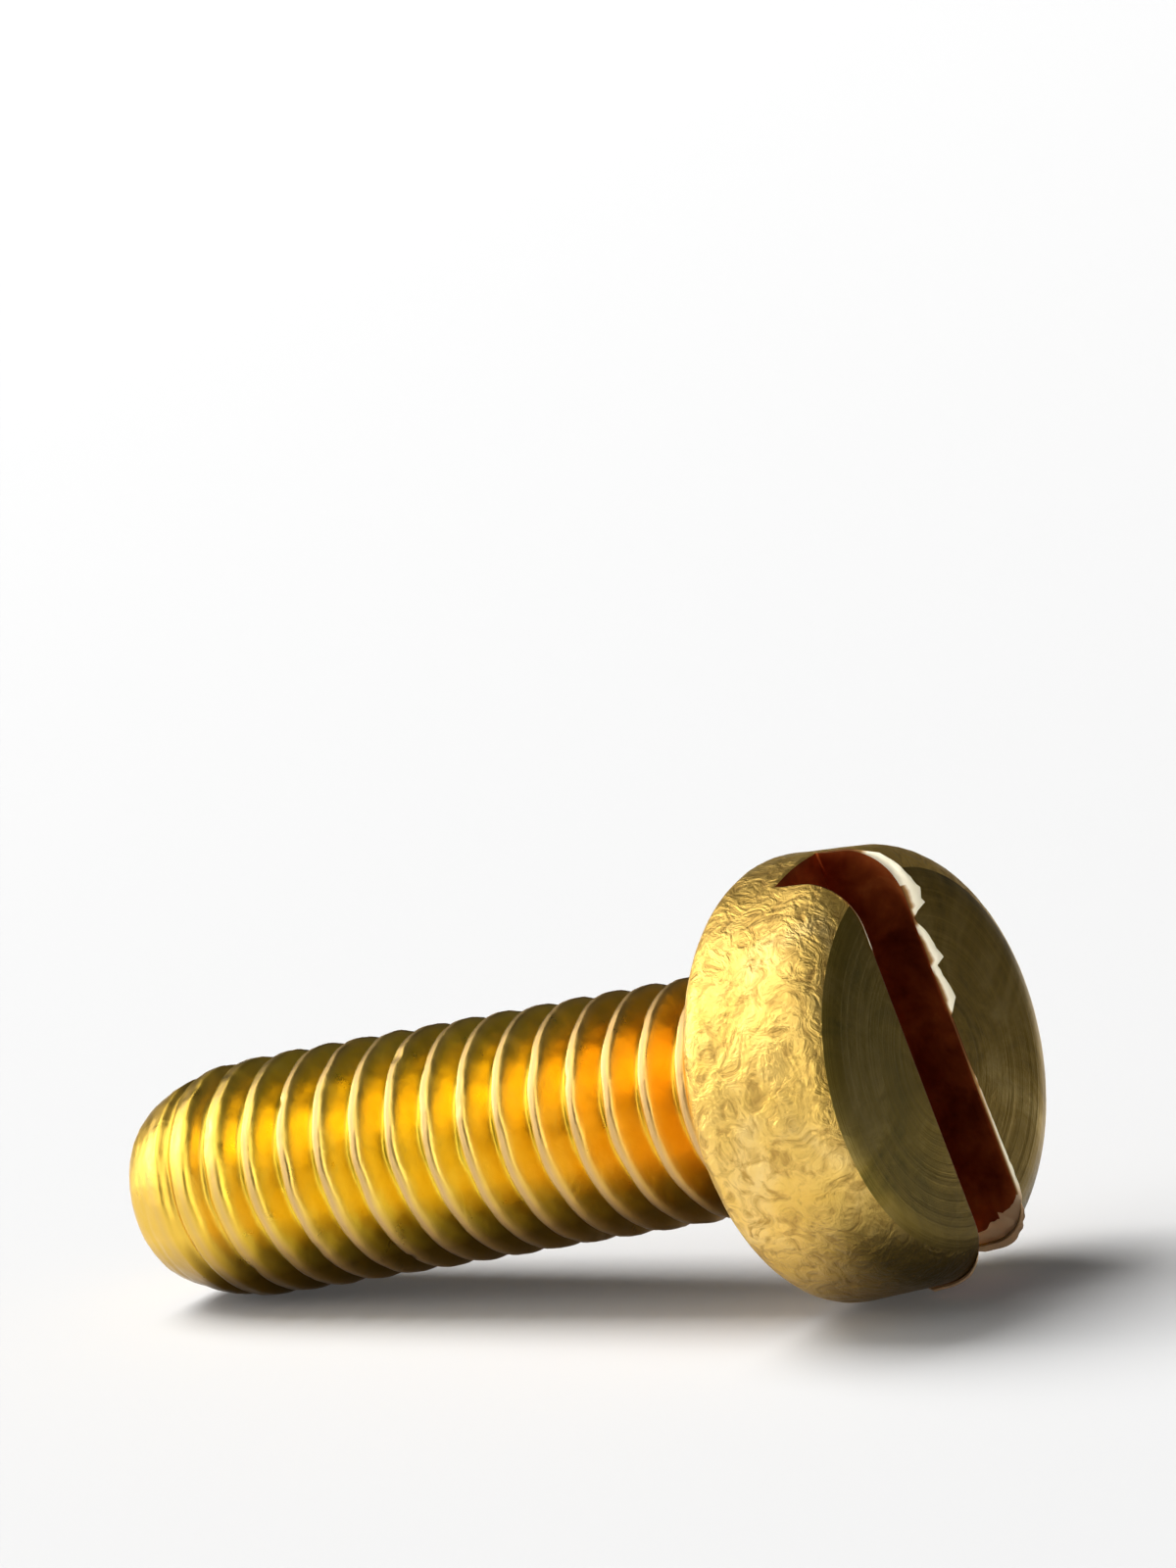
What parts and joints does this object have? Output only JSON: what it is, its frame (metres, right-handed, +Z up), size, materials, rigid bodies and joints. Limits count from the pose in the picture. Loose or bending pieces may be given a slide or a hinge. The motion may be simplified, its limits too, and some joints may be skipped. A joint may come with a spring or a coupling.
{
  "type": "machine screw",
  "caption": "Brass slotted cheese-head machine screw with a fine right-hand thread and a rounded tip.",
  "frame": {"origin": "centre of the bounding box on the surface that the screw lies on", "axes": "+Z up, +X along the lying screw from its tip towards its head, which the tilt of the rest raises"},
  "size_m": [0.0152, 0.0068, 0.0069],
  "materials": {
    "brass": "tumbled brass, matt on the head and brighter on the thread"
  },
  "bodies": {
    "root": {"screw": "brass"}
  },
  "joints": []
}
